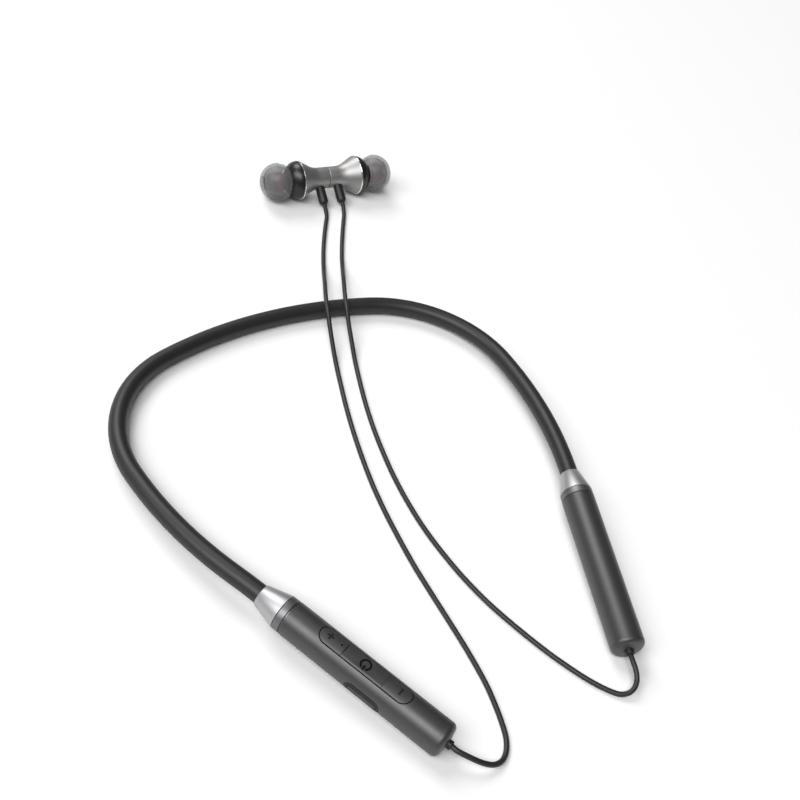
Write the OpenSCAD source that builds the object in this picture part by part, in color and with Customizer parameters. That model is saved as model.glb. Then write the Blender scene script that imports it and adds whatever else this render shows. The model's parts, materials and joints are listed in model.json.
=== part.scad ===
// Neckband earphones: silicone neck tube, two cylindrical pods, two corded earbuds
// that snap together back to back.  Millimetres.  X points from the back of the
// neck to the open end, Z is up off the surface that the set lies on.

/* [Neck tube] */
// Outside diameter of the silicone tube
tube_d = 5.5; // [5:0.1:6.5]
// Inside diameter of the tube's lumen
lumen_d = 3.8; // [3.4:0.1:4]
// Bend radius of the nape section
nape_r = 138; // [120:1:150]
// Half angle of the nape section
nape_turn = 16; // [12:1:20]
// Bend radius at each shoulder corner
corner_r = 40; // [35:1:45]
// Angle turned at each shoulder corner
corner_turn = 76; // [70:1:80]
// Bend radius along each arm
arm_r = 128; // [110:1:150]
// Angle turned along each arm
arm_turn = 20; // [15:1:24]
// Rise of the neck tube off the table, from nape to collars
neck_rise = 2.96; // [2:0.02:4]
// Downward turn of the tube just before each collar
dip = 5; // [4:0.1:6]

/* [Pods] */
// Outside diameter of both pods
pod_d = 10; // [9.5:0.1:11]
// Wall thickness of a pod shell
pod_wall = 0.85; // [0.7:0.05:1]
// Length of a pod shell and its end cap
pod_len = 51.3; // [48:0.1:55]
// Length of a metal collar
collar_len = 9.5; // [8:0.1:11]
// Outside diameter of a collar at its small end
collar_small_d = 6.3; // [6:0.1:7]

/* [Controls] */
// Length of the slot that holds the three keys
key_slot_len = 29; // [26:0.5:32]
// Width of the slot that holds the three keys
key_slot_w = 5; // [4.5:0.1:5.4]
// Length of the power key
power_key_len = 13; // [11:0.5:14]
// Gap round each key
key_gap = 0.1; // [0.08:0.01:0.15]
// Angle of the charging cover round the pod, from the keys
cover_turn = 100; // [95:1:105]
// Length of the charging cover
cover_len = 10.8; // [10:0.1:12]
// Width of the charging cover
cover_w = 3.8; // [3.4:0.1:4.2]

/* [Earbuds] */
// Diameter of the metal housing at its rim
rim_d = 14.5; // [13:0.1:15]
// Diameter of the housing's waist
waist_d = 7.9; // [7:0.1:9]
// Distance from the mating face to the rim
rim_at = 11.8; // [11:0.1:13]
// Largest diameter of a silicone ear tip
tip_d = 13.8; // [12:0.1:14]
// Downward angle of the cable boots
boot_drop = 30; // [20:1:31]
// Length of a cable boot outside the housing
boot_len = 6.4; // [5:0.1:8]
// Diameter of a cable boot
boot_d = 3.4; // [3:0.1:4]
// Diameter of the earbud cables
cable_d = 1.5; // [1.2:0.1:2]
// Angle of the earbud pair's axis from square to the neckband
bud_turn = 7; // [0:1:15]

/* [Hidden] */
$fn = 64;
// Half width and depth of the hairline between two arcs of one strand
hair = 0.02;

tube_r = tube_d / 2;
lumen_r = lumen_d / 2;
pod_r = pod_d / 2;
bore_r = pod_r - pod_wall;
rim_r = rim_d / 2;
waist_r = waist_d / 2;
tip_r = tip_d / 2;
cable_r = cable_d / 2;
dip_r = 100;
gap = 0.3;

// Shift that puts the origin under the middle of the set
home = [-44.05, -6.67, 0];

// Neck path in its own plane: nape, corner and arm arcs, each tangent to the next
function arc_end(p, h, r, a) =
  [p.x + r * (sin(h) - sin(h - a)), p.y + r * (cos(h - a) - cos(h))];
nape_start = [0, 0];
corner_h = 90 - nape_turn;
corner_start = arc_end(nape_start, 90, nape_r, nape_turn);
arm_h = corner_h - corner_turn;
arm_start = arc_end(corner_start, corner_h, corner_r, corner_turn);
dip_h = arm_h - arm_turn;
dip_start = arc_end(arm_start, arm_h, arm_r, arm_turn);

// Pod axis: where it starts and which way it runs, before the neck is raised
dip_end = [
  dip_start.x + dip_r * sin(dip) * cos(dip_h),
  dip_start.y + dip_r * sin(dip) * sin(dip_h),
  -dip_r * (1 - cos(dip))
];
pod_dir = [cos(dip_h) * cos(dip), sin(dip_h) * cos(dip), -sin(dip)];

// Stations along the pod axis, measured from the small end of the collar
shell_at = collar_len + gap;
cap_at = shell_at + pod_len - 2.3;
cap_end = shell_at + pod_len;
gland_end = cap_end + 1.2;
slot_at = shell_at + 9.1;
slot_end = slot_at + key_slot_len;
slot_mid = (slot_at + slot_end) / 2;
power_at = slot_mid - power_key_len / 2;
power_end = slot_mid + power_key_len / 2;
cover_at = shell_at + 21.9;
cover_end = cover_at + cover_len;
cover_mid = (cover_at + cover_end) / 2;

// Circuit board height and thickness, and the switch stations
board_top = -0.5;
board_t = 0.8;
board_w = 7.4;
switch_stations = [22.5, 30, 44];
mic_at = 25.6;
socket_z = board_top - board_t / 2;

// Earbuds: the mating faces sit on this point, held up by the housings' rims
bud_at = [-57.4, 57.3, rim_r];
bud_axis = [sin(bud_turn), cos(bud_turn), 0];
boot_at = 3.7;
boot_root = 3.2;
boot_end = waist_r + boot_len;
boot_dir = [cos(boot_drop) * cos(bud_turn), -cos(boot_drop) * sin(bud_turn), -sin(boot_drop)];

control = -1;
battery = 1;

function raised(v) = [
  v.x * cos(neck_rise) - v.z * sin(neck_rise),
  v.y,
  v.x * sin(neck_rise) + v.z * cos(neck_rise)
];
function sided(v, side) = [v.x, side * v.y, v.z];
function on_pod(side, x) = home + [0, 0, tube_r] + sided(raised(dip_end + x * pod_dir), side);
function off_boot(side, r) = home + bud_at + side * boot_at * bud_axis + r * boot_dir;

// Cable routes on the table, pod end to earbud end, before the home shift
control_route = [
  [159.4, -27.6, 3.9], [161.2, -25.2, 2.8], [162.4, -22.6, 1.8], [162.5, -20, 1.2],
  [161.6, -17.9, 0.9], [160, -16.1, 0.78], [157.5, -14.4, 0.75], [154, -13, 0.75],
  [149, -11.5, 0.75], [142, -9.9, 0.75], [132, -8.7, 0.75], [122, -8, 0.75],
  [112, -7.4, 0.75], [102, -6.7, 0.75], [92, -5.5, 0.75], [82, -4, 0.75],
  [72, -2, 0.75], [62, 0.6, 0.75], [52, 3.6, 0.75], [42, 7, 0.75], [32, 10.8, 0.8],
  [25, 13.4, 1.3], [19, 15.4, 3], [13, 17.4, 5.1], [8, 19.4, 6.2], [3, 21.6, 6.55],
  [-2, 24.2, 6.3], [-7, 27.2, 5.2], [-12, 30.3, 3.3], [-17, 33.4, 1.6], [-22, 36.4, 0.8],
  [-28, 40, 0.75], [-35, 44.6, 0.75], [-40, 48.1, 0.75], [-44, 50.9, 0.8]
];
battery_route = [
  [158.8, 29.8, 4.2], [161, 28.7, 3.2], [162.3, 27, 2.3], [162.5, 25, 1.5],
  [161.6, 23, 1], [159.8, 21.3, 0.8], [157, 19.3, 0.75], [153.4, 17.2, 0.75],
  [149, 15.1, 0.75], [142, 12.2, 0.75], [132, 8.9, 0.75], [122, 6.2, 0.75],
  [112, 4.5, 0.75], [102, 3.7, 0.75], [92, 3.6, 0.75], [82, 4.4, 0.75],
  [72, 5.9, 0.75], [62, 8.1, 0.75], [52, 10.8, 0.75], [42, 14.1, 0.75], [32, 17.9, 0.8],
  [25, 20.6, 1.3], [19, 22.7, 3], [13, 24.7, 5.1], [8, 26.8, 6.2], [3, 29.1, 6.55],
  [-2, 31.8, 6.3], [-7, 34.8, 5.2], [-12, 38, 3.3], [-17, 41.2, 1.6], [-22, 44.2, 0.8],
  [-28, 47.9, 0.75], [-34, 51.8, 0.75], [-39, 55.2, 0.75], [-43, 57.9, 0.8]
];

silicone_black = [0.08, 0.08, 0.085];
plastic_black = [0.11, 0.11, 0.115];
satin_metal = [0.72, 0.72, 0.73];
bright_metal = [0.85, 0.85, 0.86];
wire_metal = [0.6, 0.6, 0.62];
board_green = [0.05, 0.28, 0.14];
tip_grey = [0.55, 0.56, 0.57];
tip_red = [0.72, 0.2, 0.22];

// ---------- frames ----------
module neck_frame() {
  translate(home + [0, 0, tube_r])
    rotate([0, -neck_rise, 0])
      children();
}

// X runs along the pod axis from the collar's small end, Z is up
module pod_frame(side) {
  neck_frame()
    translate([dip_end.x, side * dip_end.y, dip_end.z])
      rotate([0, 0, side * dip_h])
        rotate([0, dip, 0])
          children();
}

// X runs out along the earbud axis from the mating face, Z is up
module bud_frame(side) {
  translate(home + bud_at)
    rotate([0, 0, side * 90 - bud_turn])
      children();
}

// ---------- helpers ----------
// Solid of revolution about X from [station, radius] points
module turned(profile) {
  rotate([0, 90, 0])
    rotate_extrude()
      polygon([for (p = profile) [p[1], p[0]]]);
}

// Round bar or pipe along X
module bar(from, to, r) {
  translate([from, 0, 0])
    rotate([0, 90, 0])
      cylinder(r = r, h = to - from);
}

// Box from its low and high corners
module block(low, high) {
  translate(low)
    cube(high - low);
}

// Flat stadium in the XY plane
module stadium(x0, x1, w) {
  translate([x0 + w / 2, -w / 2])
    square([x1 - x0 - w, w]);
  for (x = [x0 + w / 2, x1 - w / 2])
    translate([x, 0])
      circle(d = w);
}

// Ring section of a strand of radius r with a bore of radius hole
module section(r, hole) {
  difference() {
    circle(r = r);
    if (hole > 0)
      circle(r = hole);
  }
}

// One planar arc of the neck path, with the strand set off outwards and upwards
module path_arc(p, h, bend, a, out, up, r, hole) {
  trim = hair / bend * 180 / PI;
  translate([p.x + bend * sin(h), p.y - bend * cos(h), up])
    rotate([0, 0, h - a + 90 + trim])
      rotate_extrude(angle = a - 2 * trim)
        translate([bend + out, 0])
          section(r, hole);
}

// Short core that joins two arcs across the hairline left between them
module splice(out, up, r, hole) {
  translate([-0.5, out, up])
    rotate([0, 90, 0])
      linear_extrude(1)
        section(r - hair, hole > 0 ? hole + hair : 0);
}

// Splice at a point of the neck path
module path_splice(p, h, out, up, r, hole) {
  translate([p.x, p.y, 0])
    rotate([0, 0, h])
      splice(out, up, r, hole);
}

// One arm of a strand: corner, arm, dip and a straight tail into the collar
module strand_arm(out, up, r, hole, tail) {
  trim = hair / dip_r * 180 / PI;
  path_splice(corner_start, corner_h, out, up, r, hole);
  path_arc(corner_start, corner_h, corner_r, corner_turn, out, up, r, hole);
  path_splice(arm_start, arm_h, out, up, r, hole);
  path_arc(arm_start, arm_h, arm_r, arm_turn, out, up, r, hole);
  path_splice(dip_start, dip_h, out, up, r, hole);
  translate([dip_start.x, dip_start.y, 0])
    rotate([0, 0, dip_h])
      translate([0, out, -dip_r])
        rotate([90, 0, 0])
          rotate([0, 0, 90 - dip + trim])
            rotate_extrude(angle = dip - 2 * trim)
              translate([dip_r + up, 0])
                section(r, hole);
  translate(dip_end)
    rotate([0, 0, dip_h])
      rotate([0, dip, 0]) {
        splice(out, up, r, hole);
        translate([hair, out, up])
          rotate([0, 90, 0])
            linear_extrude(tail)
              section(r, hole);
      }
}

// Strand that follows the whole neck path
module strand(out, up, r, hole, tail) {
  neck_frame() {
    path_arc([nape_r * (1 - cos(nape_turn)), -nape_r * sin(nape_turn)], 90 + nape_turn,
             nape_r, 2 * nape_turn, out, up, r, hole);
    strand_arm(out, up, r, hole, tail);
    mirror([0, 1, 0])
      strand_arm(out, up, r, hole, tail);
  }
}

// ---------- neck ----------
module neck_tube() {
  color(silicone_black)
    strand(0, 0, tube_r, lumen_r, 3.4);
}

module memory_wire() {
  color(wire_metal)
    strand(-0.9, 0, 0.6, 0, 8);
}

module battery_lead_positive() {
  color([0.7, 0.1, 0.1])
    strand(0.6, 0.9, 0.35, 0, 14);
}

module battery_lead_negative() {
  color([0.1, 0.1, 0.1])
    strand(0.6, -0.9, 0.35, 0, 14);
}

module audio_lead_signal() {
  color([0.15, 0.3, 0.7])
    strand(0.45, 0, 0.3, 0, 14);
}

module audio_lead_ground() {
  color([0.8, 0.8, 0.8])
    strand(1.3, 0, 0.3, 0, 14);
}

// ---------- pods ----------
// Metal cone that carries the tube into the pod; its spigot sits inside the shell
module collar(side) {
  small_r = collar_small_d / 2;
  color(satin_metal)
    pod_frame(side)
      turned([
        [0, tube_r + 0.05], [0, small_r - 0.2], [0.2, small_r],
        [collar_len - 2.2, pod_r], [collar_len - 0.25, pod_r], [collar_len, pod_r - 0.25],
        [collar_len, bore_r - 0.02], [collar_len + 4, bore_r - 0.02], [collar_len + 4, 2.3],
        [3.5, 2.3], [3.5, tube_r + 0.05]
      ]);
}

module control_collar() {
  collar(control);
}

module battery_collar() {
  collar(battery);
}

// Plain tube of a pod shell
module shell_tube() {
  difference() {
    bar(shell_at, cap_at, pod_r);
    bar(shell_at - 1, cap_at + 1, bore_r);
  }
}

// Half bulkhead that the board or the cell rests on
module ledge(x, top) {
  intersection() {
    bar(x, x + 1.2, bore_r + 0.2);
    block([x, -pod_r, -pod_r], [x + 1.2, pod_r, top]);
  }
}

module control_pod_shell() {
  board_low = board_top - board_t;
  color(plastic_black)
    pod_frame(control) {
      difference() {
        shell_tube();
        linear_extrude(pod_d)
          stadium(slot_at, slot_end, key_slot_w);
        rotate([cover_turn, 0, 0])
          linear_extrude(pod_d)
            stadium(cover_at, cover_end, cover_w);
      }
      ledge(18, board_low);
      ledge(50, board_low);
    }
}

module battery_pod_shell() {
  color(plastic_black)
    pod_frame(battery)
      shell_tube();
}

// Domed plug that closes the cable end of a pod
module end_cap(side) {
  color(plastic_black)
    pod_frame(side)
      turned(concat(
        [[cap_at - 3.5, 3.2], [cap_at - 3.5, bore_r - 0.02], [cap_at, bore_r - 0.02], [cap_at, pod_r]],
        [for (a = [90:-15:15]) [cap_end - 1.9 + 1.6 * cos(a), pod_r - 1.6 + 1.6 * sin(a)]],
        [[cap_end - 0.12, 2.4], [cap_end, 1.3], [cap_at, 1.3], [cap_at, 3.2]]
      ));
}

module control_end_cap() {
  end_cap(control);
}

module battery_end_cap() {
  end_cap(battery);
}

// Rubber gland that grips the cable where it leaves the end cap
module gland(side) {
  color(silicone_black)
    pod_frame(side)
      turned([
        [cap_at - 0.9, 0], [cap_at - 0.9, 2.2], [cap_at, 2.2], [cap_at, 1.29],
        [gland_end - 0.3, 1.29], [gland_end, 1.05], [gland_end, 0]
      ]);
}

module control_cable_gland() {
  gland(control);
}

module battery_cable_gland() {
  gland(battery);
}

// ---------- electronics in the control pod ----------
module main_board() {
  color(board_green)
    pod_frame(control)
      difference() {
        block([16, -board_w / 2, board_top - board_t], [54, board_w / 2, board_top]);
        block([cover_mid - 3.8, -board_w, board_top - 2 * board_t], [cover_mid + 3.8, 1.55, board_top + board_t]);
      }
}

module wireless_module() {
  color(bright_metal)
    pod_frame(control)
      block([22.5, -2.9, board_top - board_t - 1.2], [32.5, 2.9, board_top - board_t]);
}

module tact_switches() {
  color([0.2, 0.2, 0.22])
    pod_frame(control)
      for (x = switch_stations) {
        block([x - 1.6, -1.6, board_top], [x + 1.6, 1.6, board_top + 1.5]);
        translate([x, 0, board_top + 1.5])
          cylinder(r = 0.8, h = 0.4);
      }
}

module microphone() {
  color(bright_metal)
    pod_frame(control)
      block([mic_at - 1.3, -1, board_top], [mic_at + 1.3, 1, board_top + 1]);
}

// Shell of the charging socket, sunk in a notch of the board, mouth facing out under the cover
module charging_receptacle() {
  color(bright_metal)
    pod_frame(control)
      difference() {
        block([cover_mid - 3.75, -3.4, socket_z - 1.3], [cover_mid + 3.75, 1.5, socket_z + 1.3]);
        block([cover_mid - 3.4, -4.4, socket_z - 0.95], [cover_mid + 3.4, 1.1, socket_z + 0.95]);
      }
}

// Rubber flap over the charging socket
module charging_cover() {
  color(silicone_black)
    pod_frame(control)
      intersection() {
        shell_tube();
        rotate([cover_turn, 0, 0])
          linear_extrude(pod_d)
            stadium(cover_at + key_gap, cover_end - key_gap, cover_w - 2 * key_gap);
      }
}

// Part of the pod wall between two stations, cut to the key slot
module key_skin(from, to) {
  intersection() {
    difference() {
      bar(from, to, pod_r);
      bar(from - 1, to + 1, bore_r - 0.2);
    }
    linear_extrude(pod_d)
      stadium(slot_at + key_gap, slot_end - key_gap, key_slot_w - 2 * key_gap);
  }
}

// Post from the skin down to just above a switch
module key_post(x) {
  translate([x, 0, board_top + 2.25])
    cylinder(r = 0.9, h = bore_r - board_top - 2.25);
}

module volume_up_key() {
  color(plastic_black)
    pod_frame(control)
      difference() {
        union() {
          key_skin(slot_at, power_at - key_gap);
          key_post(switch_stations[0]);
          block([slot_at + 2, -0.2, pod_r - 0.2], [slot_at + 4, 0.2, pod_r + 0.1]);
          block([slot_at + 2.8, -1, pod_r - 0.3], [slot_at + 3.2, 1, pod_r + 0.1]);
        }
        translate([mic_at, 0, 0])
          cylinder(r = 0.3, h = pod_d);
      }
}

module power_key() {
  color(plastic_black)
    pod_frame(control) {
      intersection() {
        key_skin(power_at, power_end);
        block([power_at, -pod_r, 0], [power_end, pod_r, pod_r - 0.35]);
      }
      key_post(switch_stations[1]);
      translate([slot_mid, 0, pod_r - 0.36]) {
        difference() {
          cylinder(r = 1.6, h = 0.1);
          translate([0, 0, -1])
            cylinder(r = 1.2, h = 2);
          block([-0.6, -2, -1], [0.6, 0, 1]);
        }
        block([-0.2, -1.7, 0], [0.2, -0.3, 0.1]);
      }
    }
}

module volume_down_key() {
  color(plastic_black)
    pod_frame(control) {
      key_skin(power_end + key_gap, slot_end);
      key_post(switch_stations[2]);
      block([slot_end - 3.6, -1, pod_r - 0.3], [slot_end - 3.2, 1, pod_r + 0.1]);
    }
}

// ---------- power in the battery pod ----------
module battery_cell() {
  color([0.75, 0.76, 0.78])
    pod_frame(battery)
      bar(19, 54, 3.75);
}

module battery_foam_pads() {
  color([0.15, 0.15, 0.16])
    pod_frame(battery)
      for (x = [21, 48])
        difference() {
          bar(x, x + 4, bore_r - 0.02);
          bar(x - 1, x + 5, 3.77);
        }
}

module protection_board() {
  color(board_green)
    pod_frame(battery)
      block([18.2, -3, -2.5], [19, 3, 2.5]);
}

// ---------- earbud cables ----------
function unit(v) = v / norm(v);
function heading(pts, i, first, last) =
  i == 0 ? first : i == len(pts) - 1 ? last : unit(pts[i + 1] - pts[i - 1]);

// Eight sided tube through the route points, square to the given end directions
module swept_cable(pts, first, last) {
  sides = 8;
  n = len(pts);
  rings = [
    for (i = [0:n - 1])
      let (t = heading(pts, i, first, last), s = unit(cross([0, 0, 1], t)), u = cross(t, s))
        for (k = [0:sides - 1])
          pts[i] + cable_r * (cos(k * 360 / sides) * s + sin(k * 360 / sides) * u)
  ];
  walls = [
    for (i = [0:n - 2])
      for (k = [0:sides - 1])
        let (a = i * sides + k, b = i * sides + (k + 1) % sides)
          [a, a + sides, b + sides, b]
  ];
  start_face = [for (k = [0:sides - 1]) k];
  end_face = [for (k = [sides - 1:-1:0]) (n - 1) * sides + k];
  polyhedron(points = rings, faces = concat([start_face], walls, [end_face]));
}

module earbud_cable(side, route) {
  out = sided(raised(pod_dir), side);
  pts = concat(
    [on_pod(side, gland_end), on_pod(side, gland_end + 2)],
    [for (p = route) home + p],
    [off_boot(side, boot_end + 1.5), off_boot(side, boot_end)]
  );
  color(silicone_black)
    swept_cable(pts, out, -boot_dir);
}

module control_cable() {
  earbud_cable(control, control_route);
}

module battery_cable() {
  earbud_cable(battery, battery_route);
}

// ---------- earbuds ----------
// Trumpet shaped metal housing, closed at the mating face
module bud_housing(side) {
  flare = [for (a = [15:15:75]) [rim_at - 6.2 * cos(a), waist_r + (rim_r - 0.2 - waist_r) * (1 - cos(a / 90 * 88)) * 1.03]];
  color(satin_metal)
    bud_frame(side)
      difference() {
        turned(concat(
          [[0.05, 0], [0.05, waist_r - 0.2], [0.25, waist_r], [rim_at - 6.2, waist_r]],
          flare,
          [[rim_at - 0.5, rim_r - 0.15], [rim_at - 0.3, rim_r], [rim_at, rim_r], [rim_at, rim_r - 0.8],
           [rim_at - 1.2, rim_r - 0.8], [rim_at - 1.2, 5.2], [rim_at - 2.8, 4.2], [rim_at - 5.6, 3.1],
           [0.5, 3.1], [0.5, 0]]
        ));
        translate([boot_at, 0, 0])
          rotate([side * (90 + boot_drop), 0, 0])
            cylinder(r = boot_d / 2 + 0.02, h = pod_d);
      }
}

module control_bud_housing() {
  bud_housing(control);
}

module battery_bud_housing() {
  bud_housing(battery);
}

// Disc magnet behind the mating face
module bud_magnet(side) {
  color(bright_metal)
    bud_frame(side)
      bar(0.52, 1.7, 2.9);
}

module control_bud_magnet() {
  bud_magnet(control);
}

module battery_bud_magnet() {
  bud_magnet(battery);
}

// Moving coil driver that fires into the nozzle
module bud_driver(side) {
  color([0.3, 0.3, 0.32])
    bud_frame(side) {
      bar(rim_at - 2.4, rim_at - 1.2, 3.9);
      bar(rim_at - 1.2, rim_at + 0.6, 5);
    }
}

module control_bud_driver() {
  bud_driver(control);
}

module battery_bud_driver() {
  bud_driver(battery);
}

// Black domed front with the nozzle
module bud_front(side) {
  dome = [for (a = [8:12:68]) [rim_at + 5.3 * sin(a), (rim_r - 0.15) * cos(a)]];
  color(plastic_black)
    bud_frame(side)
      turned(concat(
        [[rim_at - 1.15, 5.05], [rim_at - 1.15, rim_r - 0.82], [rim_at, rim_r - 0.82], [rim_at, rim_r - 0.15]],
        dome,
        [[rim_at + 5.2, 2.4], [rim_at + 8.6, 2.4], [rim_at + 8.9, 2.65], [rim_at + 9.8, 2.65],
         [rim_at + 10.2, 2.4], [rim_at + 10.2, 1.9], [rim_at + 4.2, 1.9],
         [rim_at + 2.6, 5.05]]
      ));
}

module control_bud_front() {
  bud_front(control);
}

module battery_bud_front() {
  bud_front(battery);
}

// Mesh disc in the mouth of the nozzle
module nozzle_mesh(side) {
  color(wire_metal)
    bud_frame(side)
      bar(rim_at + 9.7, rim_at + 10, 1.88);
}

module control_nozzle_mesh() {
  nozzle_mesh(control);
}

module battery_nozzle_mesh() {
  nozzle_mesh(battery);
}

// Rubber strain relief where the cable enters the housing
module bud_boot(side) {
  color(silicone_black)
    bud_frame(side)
      translate([boot_at, 0, 0])
        rotate([side * (90 + boot_drop), 0, 0])
          rotate_extrude()
            polygon([
              [0, boot_root], [boot_d / 2, boot_root], [boot_d / 2, boot_end - 0.5],
              [boot_d / 2 - 0.15, boot_end - 0.15], [boot_d / 2 - 0.5, boot_end], [0, boot_end]
            ]);
}

module control_bud_boot() {
  bud_boot(control);
}

module battery_bud_boot() {
  bud_boot(battery);
}

// Silicone ear tip: a thin domed skirt turned back into a sleeve on the nozzle
module eartip(side) {
  base = rim_at + 4.1;
  color(tip_grey)
    bud_frame(side)
      turned([
        [base + 1.2, 2.7], [base + 1.2, 3.1], [base + 8.4, 3.1], [base + 7.6, 4.5],
        [base + 6, 5.4], [base + 4, 5.9], [base + 2, 5.6], [base, 4.9],
        [base, 5.4], [base + 1, 6], [base + 2.2, 6.5], [base + 3.6, tip_r],
        [base + 5, tip_r - 0.1], [base + 6.5, tip_r - 0.6], [base + 8, tip_r - 1.5],
        [base + 9.1, tip_r - 2.7], [base + 9.7, tip_r - 3.8], [base + 9.7, 2.7]
      ]);
}

module control_eartip() {
  eartip(control);
}

module battery_eartip() {
  eartip(battery);
}

// Coloured ring bonded round the tip's sleeve
module eartip_core(side) {
  base = rim_at + 4.1;
  color(tip_red)
    bud_frame(side)
      difference() {
        bar(base + 3.2, base + 5.6, 3.7);
        bar(base + 3, base + 6, 3.12);
      }
}

module control_eartip_core() {
  eartip_core(control);
}

module battery_eartip_core() {
  eartip_core(battery);
}

neck_tube();
memory_wire();
battery_lead_positive();
battery_lead_negative();
audio_lead_signal();
audio_lead_ground();
control_collar();
battery_collar();
control_pod_shell();
battery_pod_shell();
control_end_cap();
battery_end_cap();
control_cable_gland();
battery_cable_gland();
main_board();
wireless_module();
tact_switches();
microphone();
charging_receptacle();
charging_cover();
volume_up_key();
power_key();
volume_down_key();
battery_cell();
battery_foam_pads();
protection_board();
control_cable();
battery_cable();
control_bud_housing();
battery_bud_housing();
control_bud_magnet();
battery_bud_magnet();
control_bud_driver();
battery_bud_driver();
control_bud_front();
battery_bud_front();
control_nozzle_mesh();
battery_nozzle_mesh();
control_bud_boot();
battery_bud_boot();
control_eartip();
battery_eartip();
control_eartip_core();
battery_eartip_core();
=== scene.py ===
import json
import math

import bpy
from mathutils import Matrix, Vector


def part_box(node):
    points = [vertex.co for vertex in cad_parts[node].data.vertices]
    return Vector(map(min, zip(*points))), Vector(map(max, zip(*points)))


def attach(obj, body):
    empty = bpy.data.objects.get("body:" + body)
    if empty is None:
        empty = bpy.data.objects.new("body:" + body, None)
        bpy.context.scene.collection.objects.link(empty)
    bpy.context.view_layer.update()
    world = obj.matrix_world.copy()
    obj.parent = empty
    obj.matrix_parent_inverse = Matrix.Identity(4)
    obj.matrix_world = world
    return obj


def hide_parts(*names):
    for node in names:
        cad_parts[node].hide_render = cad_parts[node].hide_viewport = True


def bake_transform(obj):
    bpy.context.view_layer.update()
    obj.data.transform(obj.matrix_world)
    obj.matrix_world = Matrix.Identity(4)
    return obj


# Neckband earphones on a table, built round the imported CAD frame. Sizes are in mm and MM turns them
# into metres. Turned and moulded parts are drawn again as smooth lathes on the bodies of the CAD
# nodes they stand for, and the other nodes show as they are.
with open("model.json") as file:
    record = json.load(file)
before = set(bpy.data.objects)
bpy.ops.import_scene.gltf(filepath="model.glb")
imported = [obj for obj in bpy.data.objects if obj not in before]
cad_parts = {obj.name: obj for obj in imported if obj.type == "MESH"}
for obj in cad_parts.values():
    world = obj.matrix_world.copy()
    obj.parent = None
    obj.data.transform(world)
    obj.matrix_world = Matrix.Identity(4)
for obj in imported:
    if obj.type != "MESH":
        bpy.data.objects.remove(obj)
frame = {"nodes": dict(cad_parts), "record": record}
record = frame["record"]
nodes = frame["nodes"]
slot_of = {s["node"]: s["material_slot"] for s in record["subparts"]}
body_of = {n: b for b, members in record["behaviour"]["bodies"].items() for n in members}
MM = 0.001

# Along each pod from the neck end, and round its axis
POD_R, POD_BORE_R = 5, 4.13
CAP_AT, CAP_END = 58.8, 61.1
GLAND_END, GLAND_R = 62.3, 1.29
KEYS_FROM, KEYS_TO, KEYS_WIDTH = 18.9, 47.9, 5.0
POWER_AT = 33.4
COVER_FROM, COVER_TO, COVER_WIDTH, COVER_TURN = 31.7, 42.5, 3.8, 100
MODULE_AT, MODULE_LENGTH = (27.5, 0, -1.9), 9.5
# Along each earbud from the face where the pair meets, and round its axis
WAIST_R, FLARE = 3.95, 5.6
RIM, RIM_R = 11.8, 7.25
NOZZLE_R = 2.4
TIP_AT, TIP_R = RIM + 4.1, 6.9
BOOT_AT, BOOT_END, BOOT_R, BOOT_DROP = 3.7, 10.35, 1.7, 30
TUBE_R, CABLE_R = 2.75, 0.75


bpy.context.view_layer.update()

# ---------- camera ----------
camera = bpy.data.objects.new("camera", bpy.data.cameras.new("camera"))
camera.location = (0.19233, -0.18254, 0.26820)
camera.rotation_euler = [math.radians(a) for a in (44.48, -13.40, 56.745)]
camera.data.sensor_width = 36
camera.data.lens = 54
camera.data.clip_start = 0.01
camera.data.clip_end = 20
bpy.context.scene.collection.objects.link(camera)
bpy.context.scene.camera = camera


# ---------- materials ----------
class Shader:
    """A Principled material with the few nodes these finishes need."""

    def __init__(self, name, colour, rough, **sockets):
        self.mat = bpy.data.materials.new(name)
        self.mat.use_nodes = True
        self.tree = self.mat.node_tree
        self.bsdf = self.tree.nodes["Principled BSDF"]
        self.bsdf.inputs["Base Color"].default_value = (*colour, 1)
        self.bsdf.inputs["Roughness"].default_value = rough
        for key, value in sockets.items():
            self.bsdf.inputs[key.replace("_", " ")].default_value = value

    def noise(self, scale, detail=3.0, coords="Object"):
        """Noise with this many grains per metre."""
        place = self.tree.nodes.new("ShaderNodeTexCoord")
        noise = self.tree.nodes.new("ShaderNodeTexNoise")
        noise.inputs["Scale"].default_value = scale
        noise.inputs["Detail"].default_value = detail
        self.tree.links.new(place.outputs[coords], noise.inputs["Vector"])
        return noise.outputs["Fac"]

    def spread(self, fac, low, high):
        node = self.tree.nodes.new("ShaderNodeMapRange")
        node.inputs["To Min"].default_value = low
        node.inputs["To Max"].default_value = high
        self.tree.links.new(fac, node.inputs["Value"])
        return node.outputs["Result"]

    def rough(self, fac, low, high):
        self.tree.links.new(self.spread(fac, low, high), self.bsdf.inputs["Roughness"])

    def tint(self, fac, dark, light):
        mix = self.tree.nodes.new("ShaderNodeMix")
        mix.data_type = "RGBA"
        mix.inputs["A"].default_value = (*dark, 1)
        mix.inputs["B"].default_value = (*light, 1)
        self.tree.links.new(fac, mix.inputs["Factor"])
        self.tree.links.new(mix.outputs["Result"], self.bsdf.inputs["Base Color"])

    def bump(self, fac, depth):
        node = self.tree.nodes.new("ShaderNodeBump")
        node.inputs["Strength"].default_value = 1.0
        node.inputs["Distance"].default_value = depth
        self.tree.links.new(fac, node.inputs["Height"])
        self.tree.links.new(node.outputs["Normal"], self.bsdf.inputs["Normal"])


def grey(v):
    return (v, v, v * 1.03)


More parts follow.
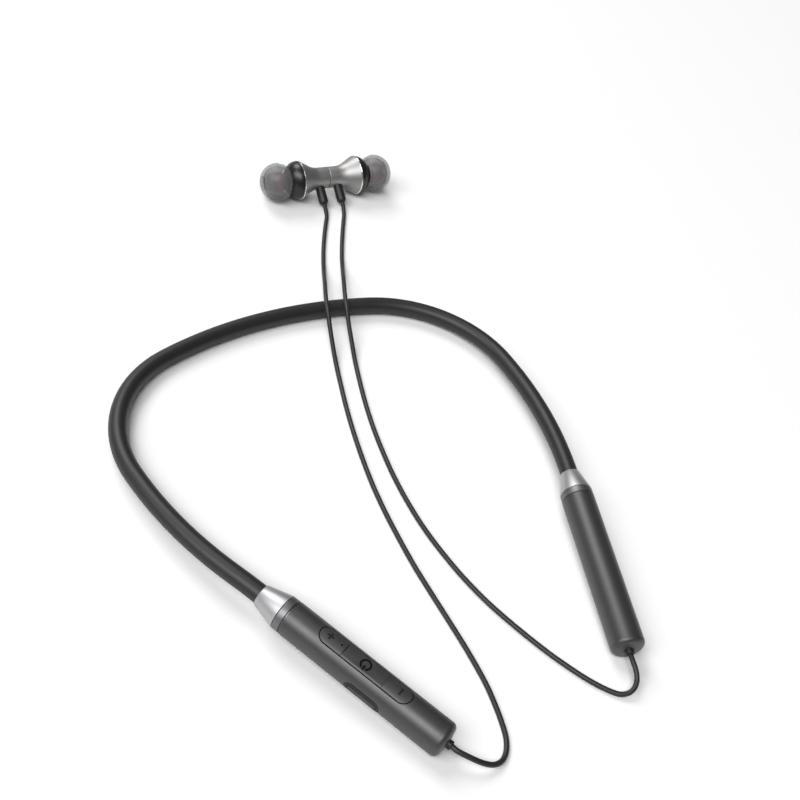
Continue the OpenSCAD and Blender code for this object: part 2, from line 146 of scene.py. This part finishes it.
def moulded(name, dark, light, rough, grain, depth, shine=0.5):
    """Moulded plastic or rubber: fine even grain, slight variation of tone and gloss."""
    s = Shader(name, light, rough, Specular_IOR_Level=shine)
    s.tint(s.noise(90), dark, light)
    s.rough(s.noise(700), rough - 0.05, rough + 0.05)
    s.bump(s.noise(grain, 2.0), depth)
    return s.mat


def metal(name, colour, low, high, scale, depth):
    """Plain metal with a fine even grain."""
    s = Shader(name, colour, low, Metallic=1.0)
    s.tint(s.noise(60), [c * 0.93 for c in colour], colour)
    s.rough(s.noise(scale), low, high)
    s.bump(s.noise(scale * 3, 2.0), depth)
    return s.mat


def turned_metal(name, colour, low, high, lines, depth):
    """Lathe turned metal: fine rings that follow the length of the profile."""
    s = Shader(name, colour, low, Metallic=1.0)
    rings = s.noise(lines, 3.0, coords="UV")
    s.tint(rings, [c * 0.88 for c in colour], colour)
    s.rough(rings, low, high)
    s.bump(rings, depth)
    return s.mat


def ear_tip_silicone():
    s = Shader("ear_tip_silicone", (0.2, 0.2, 0.2), 0.36, Alpha=0.5, IOR=1.41)
    s.tint(s.noise(120), (0.17, 0.17, 0.172), (0.21, 0.21, 0.213))
    s.rough(s.noise(500), 0.28, 0.38)
    s.bump(s.noise(2500, 2.0), 1e-5)
    return s.mat


MATERIALS = {
    "silicone_black": moulded("silicone", grey(0.009), grey(0.012), 0.48, 5000, 8e-6),
    "plastic_black": moulded("pod_plastic", grey(0.014), grey(0.018), 0.45, 6000, 6e-6, 0.95),
    "satin_metal": metal("satin_aluminium", (0.62, 0.62, 0.63), 0.36, 0.42, 900, 1e-6),
    "bright_metal": metal("plated_metal", (0.80, 0.79, 0.76), 0.12, 0.2, 600, 1e-6),
    "spring_wire": metal("drawn_steel", (0.55, 0.55, 0.56), 0.25, 0.35, 1500, 1e-6),
    "wire_red": moulded("insulation_red", (0.45, 0.02, 0.02), (0.55, 0.03, 0.02), 0.38, 3000, 4e-6),
    "wire_black": moulded("insulation_black", grey(0.018), grey(0.025), 0.38, 3000, 4e-6),
    "wire_blue": moulded("insulation_blue", (0.02, 0.07, 0.42), (0.03, 0.09, 0.5), 0.38, 3000, 4e-6),
    "wire_white": moulded("insulation_white", grey(0.62), grey(0.7), 0.4, 3000, 4e-6),
    "board_green": moulded("solder_mask", (0.01, 0.09, 0.04), (0.02, 0.13, 0.05), 0.3, 1500, 4e-6),
    "switch_black": moulded("switch_body", grey(0.03), grey(0.04), 0.4, 3000, 4e-6),
    "cell_wrap": moulded("cell_wrap", (0.45, 0.46, 0.48), (0.55, 0.56, 0.58), 0.26, 900, 1.2e-5),
    "foam": moulded("foam", grey(0.02), grey(0.035), 0.85, 4000, 6e-5),
    "driver_grey": moulded("driver_can", grey(0.09), grey(0.12), 0.35, 2500, 4e-6),
    "tip_grey": ear_tip_silicone(),
    "tip_red": moulded("tip_ring_red", (0.42, 0.035, 0.045), (0.5, 0.05, 0.06), 0.42, 2500, 6e-6),
}
cone_metal = turned_metal("collar_cone", (0.50, 0.50, 0.51), 0.44, 0.52, 7000, 6e-7)
# The collar band gets a darker colour than the cone: painted shade, standing in for the darker surroundings
# the band reflects
band_metal_painted_shade = turned_metal("collar_band", (0.2, 0.2, 0.205), 0.44, 0.5, 7000, 4e-7)
bud_metal = turned_metal("bud_aluminium", (0.38, 0.375, 0.37), 0.46, 0.54, 9000, 6e-7)
rim_metal = turned_metal("bud_rim_cut", (0.9, 0.9, 0.9), 0.12, 0.18, 9000, 3e-7)
bud_gloss = moulded("bud_front_black", grey(0.006), grey(0.009), 0.34, 5000, 2e-6)
boot_rubber = moulded("boot_rubber", grey(0.006), grey(0.009), 0.5, 5000, 6e-6)
cable_rubber = moulded("cable_jacket", grey(0.010), grey(0.014), 0.46, 6000, 4e-6)
key_plastic = moulded("key_plastic", grey(0.018), grey(0.022), 0.45, 6000, 5e-6, 0.95)
print_dark = moulded("print_dark", grey(0.002), grey(0.003), 0.7, 4000, 2e-6, 0.1)
print_faint = moulded("print_faint", grey(0.008), grey(0.01), 0.6, 4000, 2e-6, 0.2)
# Near-black material for painted shade: dark strips laid where the gaps round the keys and the charging cover
# would be shaded
painted_gap_shade = moulded("gap_shadow", grey(0.0015), grey(0.002), 0.9, 4000, 2e-6, 0.1)


# ---------- mesh helpers ----------
def piece(name, verts, faces, mat, angle=32, along=None):
    """A smooth shaded mesh, sharp past angle. Along holds each vertex's place along the profile."""
    mesh = bpy.data.meshes.new(name)
    mesh.from_pydata([tuple(v) for v in verts], [], faces)
    mesh.update()
    if along:
        uv = mesh.uv_layers.new(name="along")
        for loop in mesh.loops:
            uv.data[loop.index].uv = (along[loop.vertex_index], 0)
    for p in mesh.polygons:
        p.use_smooth = True
    mesh.set_sharp_from_angle(angle=math.radians(angle))
    mesh.materials.append(mat)
    obj = bpy.data.objects.new(name, mesh)
    bpy.context.scene.collection.objects.link(obj)
    return obj


def rounded(profile, radius):
    """The closed profile of (station, radius) points with its corners filleted."""
    out = []
    steps = 4
    n = len(profile)
    for i in range(n):
        a, b, c = (Vector(profile[(i + k) % n]) for k in (-1, 0, 1))
        u, v = a - b, c - b
        r = min(radius, u.length * 0.45, v.length * 0.45)
        if b.y <= 1e-6 or u.angle(v) > math.radians(155) or r < 1e-4:
            out.append(b)
            continue
        p, q = b + u.normalized() * r, b + v.normalized() * r
        for k in range(steps + 1):
            t = k / steps
            out.append(p * (1 - t) ** 2 + b * 2 * t * (1 - t) + q * t * t)
    return out


def lathe(name, profile, at, mat, fillet, sides=96):
    """Closed profile of (station, radius) in mm turned about the X axis of the frame at."""
    loop = rounded(profile, fillet)
    verts, index, along, run = [], [], [], 0
    for i, p in enumerate(loop):
        run += (p - loop[i - 1]).length if i else 0
        if p.y < 1e-6:
            index.append([len(verts)] * sides)
            verts.append(at @ Vector((p.x * MM, 0, 0)))
            along.append(run * MM)
            continue
        index.append(range(len(verts), len(verts) + sides))
        along += [run * MM] * sides
        for k in range(sides):
            a = 2 * math.pi * k / sides
            verts.append(at @ Vector((p.x * MM, p.y * MM * math.cos(a), p.y * MM * math.sin(a))))
    faces = []
    for i in range(len(loop)):
        a, b = index[i], index[(i + 1) % len(loop)]
        for k in range(sides):
            ring = [a[k], b[k], b[(k + 1) % sides], a[(k + 1) % sides]]
            ring = [v for j, v in enumerate(ring) if v != ring[j - 1]]
            if len(ring) > 2:
                faces.append(ring)
    return piece(name, verts, faces, mat, along=along)


def smooth_path(points, steps=4):
    """Catmull-Rom points through the route."""
    p = [Vector(v) for v in points]
    p = [p[0] * 2 - p[1], *p, p[-1] * 2 - p[-2]]
    out = []
    for i in range(1, len(p) - 2):
        for k in range(steps):
            t = k / steps
            a, b, c, d = p[i - 1 : i + 3]
            square = (2 * a - 5 * b + 4 * c - d) * t * t
            cube = (3 * b - a - 3 * c + d) * t**3
            out.append(0.5 * (2 * b + (c - a) * t + square + cube))
    return [*out, p[-2]]


def tube(name, path, radius, mat):
    """Round tube along the path, with closed ends."""
    verts, faces = [], []
    n, sides = len(path), 16
    side = None
    for i, p in enumerate(path):
        t = (path[min(i + 1, n - 1)] - path[max(i - 1, 0)]).normalized()
        side = (Vector((0, 0, 1)).cross(t) if side is None else side - t * side.dot(t)).normalized()
        up = t.cross(side)
        for k in range(sides):
            a = 2 * math.pi * k / sides
            verts.append(p + (side * math.cos(a) + up * math.sin(a)) * radius)
    for i in range(n - 1):
        for k in range(sides):
            a, b = i * sides + k, i * sides + (k + 1) % sides
            faces.append([a, a + sides, b + sides, b])
    faces.append(list(range(sides)))
    faces.append([(n - 1) * sides + k for k in reversed(range(sides))])
    return piece(name, verts, faces, mat, angle=60)


def stand_for(obj, node):
    """obj takes the place of a CAD node and rides with it."""
    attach(obj, body_of[node])
    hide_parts(node)


# ---------- frames of the pods and earbuds, read from the CAD nodes ----------
def pod_frame():
    """The control pod's frame, from its radio can: a plain box with its centre at MODULE_AT in it."""
    pts = [v.co.copy() for v in nodes["wireless_module"].data.vertices]
    centre = sum(pts, Vector()) / len(pts)
    far = max(pts, key=lambda p: (p - centre).length)
    long_way = [p for p in pts if (p - far).length > MODULE_LENGTH * MM]
    near = min(long_way, key=lambda p: (p - far).length)
    z = -Vector(joint("power_press")["axis"])
    x = (near - far).normalized()
    x = x if x.x > 0 else -x
    y = z.cross(x).normalized()
    z = x.cross(y)
    m = Matrix((x, y, z)).transposed().to_4x4()
    m.translation = centre - x * MODULE_AT[0] * MM - z * MODULE_AT[2] * MM
    return m


def joint(name):
    return next(j for j in record["behaviour"]["joints"] if j["name"] == name)


def mirrored(m):
    """The same frame on the battery side of the neckband."""
    flip = Matrix.Diagonal((1, -1, 1))
    out = (flip @ m.to_3x3() @ flip).to_4x4()
    out.translation = Vector((m.translation.x, 2 * home.y - m.translation.y, m.translation.z))
    return out


tube_lo, tube_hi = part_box("neck_tube")
home = Vector((tube_lo.x + TUBE_R * MM, (tube_lo.y + tube_hi.y) / 2, 0))
control_pod = pod_frame()
battery_pod = mirrored(control_pod)
housings = [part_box("control_bud_housing"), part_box("battery_bud_housing")]
mating = (housings[0][0] + housings[0][1] + housings[1][0] + housings[1][1]) / 4
bud_axis = Vector(joint("battery_bud_pull")["axis"])
heading = math.atan2(bud_axis.y, bud_axis.x)
battery_bud = Matrix.Translation(mating) @ Matrix.Rotation(heading, 4, "Z")
control_bud = Matrix.Translation(mating) @ Matrix.Rotation(heading + math.pi, 4, "Z")
SIDES = [("control", control_pod, control_bud, -1), ("battery", battery_pod, battery_bud, 1)]

# ---------- earbud cables ----------
# Routes on the table from pod end to earbud end, in mm from the nape
ROUTES = {
    "control": [
        (159.4, -27.6, 3.9), (161.2, -25.2, 2.8), (162.4, -22.6, 1.8), (162.5, -20, 1.2),
        (161.6, -17.9, 0.9), (160, -16.1, 0.78), (157.5, -14.4, 0.75), (154, -13, 0.75),
        (149, -11.5, 0.75), (142, -9.9, 0.75), (132, -8.7, 0.75), (122, -8, 0.75),
        (112, -7.4, 0.75), (102, -6.7, 0.75), (92, -5.5, 0.75), (82, -4, 0.75),
        (72, -2, 0.75), (62, 0.6, 0.75), (52, 3.6, 0.75), (42, 7, 0.75), (32, 10.8, 0.8),
        (25, 13.4, 1.3), (19, 15.4, 3), (13, 17.4, 5.1), (8, 19.4, 6.2), (3, 21.6, 6.55),
        (-2, 24.2, 6.3), (-7, 27.2, 5.2), (-12, 30.3, 3.3), (-17, 33.4, 1.6), (-22, 36.4, 0.8),
        (-28, 40, 0.75), (-35, 44.6, 0.75), (-40, 48.1, 0.75), (-44, 50.9, 0.8),
    ],
    "battery": [
        (158.8, 29.8, 4.2), (161, 28.7, 3.2), (162.3, 27, 2.3), (162.5, 25, 1.5),
        (161.6, 23, 1), (159.8, 21.3, 0.8), (157, 19.3, 0.75), (153.4, 17.2, 0.75),
        (149, 15.1, 0.75), (142, 12.2, 0.75), (132, 8.9, 0.75), (122, 6.2, 0.75),
        (112, 4.5, 0.75), (102, 3.7, 0.75), (92, 3.6, 0.75), (82, 4.4, 0.75),
        (72, 5.9, 0.75), (62, 8.1, 0.75), (52, 10.8, 0.75), (42, 14.1, 0.75), (32, 17.9, 0.8),
        (25, 20.6, 1.3), (19, 22.7, 3), (13, 24.7, 5.1), (8, 26.8, 6.2), (3, 29.1, 6.55),
        (-2, 31.8, 6.3), (-7, 34.8, 5.2), (-12, 38, 3.3), (-17, 41.2, 1.6), (-22, 44.2, 0.8),
        (-28, 47.9, 0.75), (-34, 51.8, 0.75), (-39, 55.2, 0.75), (-43, 57.9, 0.8),
    ],
}
drop = math.radians(BOOT_DROP)
boot_dir = Vector((bud_axis.y, -bud_axis.x, 0)) * math.cos(drop) - Vector((0, 0, math.sin(drop)))

for side, pod, _, sign in SIDES:
    leave = pod @ Vector((GLAND_END * MM, 0, 0))
    out = pod.to_3x3() @ Vector((1, 0, 0))
    root = mating + bud_axis * sign * BOOT_AT * MM
    arrive = root + boot_dir * BOOT_END * MM
    route = [leave, leave + out * 2 * MM]
    route += [home + Vector(p) * MM for p in ROUTES[side]]
    route += [arrive + boot_dir * 1.5 * MM, arrive]
    path = smooth_path(route)
    length = sum((b - a).length for a, b in zip(path, path[1:]))
    cable = tube(f"{side}_cable_jacket", path, CABLE_R * MM, cable_rubber)
    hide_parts(f"{side}_cable")
    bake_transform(cable)

# ---------- CAD nodes that show as they are ----------
for name, obj in nodes.items():
    obj.data.materials.clear()
    obj.data.materials.append(MATERIALS[slot_of[name]])
    for p in obj.data.polygons:
        p.use_smooth = True
    weld = obj.modifiers.new("weld", "WELD")
    weld.merge_threshold = 1e-6
    split = obj.modifiers.new("split", "EDGE_SPLIT")
    split.split_angle = math.radians(28)
for name in ("volume_up_key", "power_key", "volume_down_key"):
    nodes[name].data.materials[0] = key_plastic

# ---------- collars, end caps and glands ----------
for side, pod, _, _ in SIDES:
    collar = lathe(
        f"{side}_collar_turned",
        [(0, 2.8), (0, 3.05), (0.15, 3.15), (7.3, POD_R), (7.4, 4.6), (9.4, 4.6), (9.4, POD_BORE_R),
         (13.5, POD_BORE_R), (13.5, 2.3), (3.5, 2.3), (3.5, 2.8)],
        pod, cone_metal, fillet=0.14,
    )
    stand_for(collar, f"{side}_collar")
    # The band's darker colour is painted shade, not a different finish
    band = lathe(
        f"{side}_collar_band",
        [(7.42, 4.62), (7.42, 4.85), (7.55, 4.96), (9.35, 4.96), (9.5, 4.82), (9.5, 4.62)],
        pod, band_metal_painted_shade, fillet=0.08,
    )
    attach(band, "neckband")
    shoulder = [
        (CAP_END - 1.9 + 1.6 * math.cos(a), POD_R - 1.6 + 1.6 * math.sin(a))
        for a in (math.radians(90 - 7.5 * k) for k in range(11))
    ]
    cap = lathe(
        f"{side}_end_cap_moulded",
        [(CAP_AT - 3.5, 3.2), (CAP_AT - 3.5, POD_BORE_R), (CAP_AT, POD_BORE_R), (CAP_AT, POD_R), *shoulder,
         (CAP_END - 0.12, 2.4), (CAP_END, 1.9), (CAP_END, 1.32), (CAP_AT, 1.32), (CAP_AT, 3.2)],
        pod, MATERIALS["plastic_black"], fillet=0.05,
    )
    stand_for(cap, f"{side}_end_cap")
    gland = lathe(
        f"{side}_gland_rubber",
        [(CAP_AT - 0.9, 0), (CAP_AT - 0.9, 2.2), (CAP_AT, 2.2), (CAP_AT, GLAND_R), (GLAND_END, GLAND_R),
         (GLAND_END, 0)],
        pod, boot_rubber, fillet=0.3, sides=64,
    )
    stand_for(gland, f"{side}_cable_gland")

# ---------- earbuds ----------
# The flare leaves the waist in a soft curve and then runs straight to the rim
FLARE_CURVE = [
    (FLARE - 2 * (1 - t) ** 2 + 1.8 * t * t, WAIST_R + 0.98 * t * t) for t in (k / 10 for k in range(11))
]
DOME = [
    (RIM + 5.3 * math.sin(a), (RIM_R - 0.22) * math.cos(a)) for a in (math.radians(3 * k) for k in range(24))
]
for side, _, bud, sign in SIDES:
    housing = lathe(
        f"{side}_bud_housing_turned",
        [(0.05, 0), (0.05, WAIST_R - 0.15), (0.2, WAIST_R), *FLARE_CURVE,
         (RIM - 0.5, RIM_R - 0.15), (RIM - 0.5, RIM_R - 0.9), (RIM - 1.2, RIM_R - 0.9), (RIM - 1.2, 5.2),
         (RIM - 2.8, 4.2), (RIM - 5.6, 3.1), (0.5, 3.1), (0.5, 0)],
        bud, bud_metal, fillet=0.05, sides=128,
    )
    stand_for(housing, f"{side}_bud_housing")
    rim = lathe(
        f"{side}_bud_rim",
        [(RIM - 0.48, RIM_R - 0.85), (RIM - 0.48, RIM_R - 0.12), (RIM - 0.3, RIM_R), (RIM - 0.05, RIM_R),
         (RIM, RIM_R - 0.1), (RIM, RIM_R - 0.85)],
        bud, rim_metal, fillet=0.06, sides=128,
    )
    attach(rim, f"{side}_bud")
    front = lathe(
        f"{side}_bud_front_moulded",
        [(RIM - 1.15, 5.05), (RIM - 1.15, RIM_R - 0.92), (RIM - 0.02, RIM_R - 0.92),
         (RIM - 0.02, RIM_R - 0.22), *DOME[1:], (RIM + 5.2, NOZZLE_R), (RIM + 8.6, NOZZLE_R),
         (RIM + 8.9, NOZZLE_R + 0.25), (RIM + 9.8, NOZZLE_R + 0.25), (RIM + 10.2, NOZZLE_R),
         (RIM + 10.2, 1.9), (RIM + 4.2, 1.9), (RIM + 2.6, 5.05)],
        bud, bud_gloss, fillet=0.08, sides=128,
    )
    stand_for(front, f"{side}_bud_front")
    boot_frame = boot_dir.to_track_quat("X", "Z").to_matrix().to_4x4()
    boot_frame.translation = mating + bud_axis * sign * BOOT_AT * MM
    boot = lathe(
        f"{side}_boot_rubber",
        [(3.2, 0), (3.2, BOOT_R), (BOOT_END - 0.75, BOOT_R), (BOOT_END, BOOT_R - 0.5), (BOOT_END, 0)],
        boot_frame, boot_rubber, fillet=0.4, sides=64,
    )
    stand_for(boot, f"{side}_bud_boot")
    skin = smooth_path(
        [(TIP_AT, 5.15, 0), (TIP_AT + 1, 6, 0), (TIP_AT + 2.2, 6.5, 0), (TIP_AT + 3.6, TIP_R, 0),
         (TIP_AT + 5, TIP_R - 0.08, 0), (TIP_AT + 6.5, TIP_R - 0.55, 0), (TIP_AT + 8, TIP_R - 1.45, 0),
         (TIP_AT + 9.1, TIP_R - 2.6, 0), (TIP_AT + 9.7, TIP_R - 3.8, 0)],
        steps=3,
    )
    ear_tip = lathe(
        f"{side}_eartip_silicone",
        [(TIP_AT + 1.2, 2.7), (TIP_AT + 1.2, 3.1), (TIP_AT + 8.4, 3.1), (TIP_AT + 7.6, 4.5), (TIP_AT + 6, 5.4),
         (TIP_AT + 4, 5.9), (TIP_AT + 2, 5.6), (TIP_AT + 0.05, 4.85), *[(p.x, p.y) for p in skin],
         (TIP_AT + 9.7, 2.7)],
        bud, MATERIALS["tip_grey"], fillet=0.1, sides=128,
    )
    stand_for(ear_tip, f"{side}_eartip")


# ---------- printed marks, and strips of painted shade round the keys and the charging cover ---
def round_pod(angle):
    """Places (x, y, lift) in mm on the control pod's round surface, this far round from the keys."""
    turn = Matrix.Rotation(math.radians(angle), 4, "X")

    def place(x, y, lift):
        r = POD_R + lift
        return control_pod @ turn @ Vector((x * MM, y * MM, math.sqrt(r * r - y * y) * MM))

    return place


def level(height):
    """Places (x, y, lift) in mm on a level plane this high above the control pod's axis."""

    def place(x, y, lift):
        return control_pod @ Vector((x * MM, y * MM, (height + lift) * MM))

    return place


def ribbon(name, inner, outer, place, mat, closed=True):
    """Thin strip between two loops of (x, y) points, 0.03 mm thick."""
    n = len(inner)
    verts = [place(*p, z) for z in (0.005, 0.035) for loop in (inner, outer) for p in loop]
    faces = []
    for i in range(n if closed else n - 1):
        j = (i + 1) % n
        faces += [[2 * n + i, 2 * n + j, 3 * n + j, 3 * n + i], [i, n + i, n + j, j],
                  [i, j, 2 * n + j, 2 * n + i], [n + i, 3 * n + i, 3 * n + j, n + j]]
    if not closed:
        faces += [[0, 2 * n, 3 * n, n], [n - 1, 2 * n - 1, 4 * n - 1, 3 * n - 1]]
    return piece(name, verts, faces, mat)


def stadium(x0, x1, width):
    """Outline with round ends, from x0 to x1."""
    r, steps = width / 2, 16
    turns = [math.pi * k / steps for k in range(steps + 1)]
    pts = [(x1 - r + r * math.sin(t), r * math.cos(t)) for t in turns]
    return pts + [(x0 + r - r * math.sin(t), -r * math.cos(t)) for t in turns]


def outline(name, x0, x1, width, line, place, body):
    """Strip of painted shade, this thick, just outside a stadium: a dark overlay that stands in for the shade
    in the gap it follows.
    """
    outer = stadium(x0 - line, x1 + line, width + 2 * line)
    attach(ribbon(name, stadium(x0, x1, width), outer, place, painted_gap_shade), body)


def bar(name, x0, x1, y0, y1, place, mat, body):
    """Straight stroke of a mark."""
    strip = ribbon(name, [(x0, y0), (x1, y0)], [(x0, y1), (x1, y1)], place, mat, closed=False)
    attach(strip, body)


# These dark strips are painted shade for the gaps round the keys and the charging cover, and for the inner
# line on the cover
outline("key_slot_shade", KEYS_FROM, KEYS_TO, KEYS_WIDTH, 0.18, round_pod(0), "neckband")
at_cover = round_pod(COVER_TURN)
outline(
    "charging_slot_shade", COVER_FROM, COVER_TO, COVER_WIDTH, 0.15, at_cover, "neckband"
)
outline(
    "charging_cover_inner_shade", COVER_FROM + 0.8, COVER_TO - 0.8, COVER_WIDTH - 1.6, 0.2, at_cover,
    "charging_flap",
)

# The power symbol stands on the power key's flat, and the other marks on their keys
power_level, mark_level, cross_level = level(4.74), level(5.1), level(5.104)
POWER_GAP = 26
arc = [math.radians(-90 + POWER_GAP + k * (360 - 2 * POWER_GAP) / 40) for k in range(41)]
ring = ribbon(
    "power_mark_ring",
    [(POWER_AT + 1.15 * math.cos(a), 1.15 * math.sin(a)) for a in arc],
    [(POWER_AT + 1.65 * math.cos(a), 1.65 * math.sin(a)) for a in arc],
    power_level, print_dark, closed=False,
)
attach(ring, "power")
bar("power_mark_bar", POWER_AT - 0.24, POWER_AT + 0.24, -1.8, -0.3, power_level, print_dark, "power")
bar("plus_mark_long", 20.9, 22.9, -0.2, 0.2, mark_level, print_faint, "volume_up")
bar("plus_mark_cross", 21.7, 22.1, -1, 1, cross_level, print_faint, "volume_up")
bar("minus_mark", 44.3, 44.7, -1, 1, mark_level, print_faint, "volume_down")

# ---------- floor and light ----------
FLOOR = 4  # metres from the middle to each edge
floor = bpy.data.meshes.new("floor")
floor.from_pydata(
    [(-FLOOR, -FLOOR, 0), (FLOOR, -FLOOR, 0), (FLOOR, FLOOR, 0), (-FLOOR, FLOOR, 0)], [], [[0, 1, 2, 3]]
)
ground = bpy.data.objects.new("floor", floor)
paper = Shader("floor_paper", (0.82, 0.82, 0.82), 0.95)
paper.bump(paper.noise(900), 1e-5)
floor.materials.append(paper.mat)
bpy.context.scene.collection.objects.link(ground)

world = bpy.data.worlds.new("studio")
world.use_nodes = True
world.node_tree.nodes["Background"].inputs["Color"].default_value = (1, 1, 1, 1)
world.node_tree.nodes["Background"].inputs["Strength"].default_value = 0.15
bpy.context.scene.world = world


def softbox(name, place, size, power):
    """Square area light that faces the middle of the table, in metres and watts."""
    light = bpy.data.lights.new(name, "AREA")
    light.shape = "RECTANGLE"
    light.size = light.size_y = size
    light.energy = power
    obj = bpy.data.objects.new(name, light)
    obj.location = place
    obj.rotation_euler = (-Vector(place)).to_track_quat("-Z", "Y").to_euler()
    bpy.context.scene.collection.objects.link(obj)


# One light high behind the camera, and one for the highlight along each pod
softbox("key_light", (1.36, -1.72, 3.36), 1.9, 82)
softbox("side_light", (-0.23, -2.3, 2.35), 1.7, 58)
softbox("back_light", (-2.3, -0.1, 2.35), 1.7, 60)
bpy.context.scene.view_settings.view_transform = "Standard"
bpy.context.scene.view_settings.look = "None"
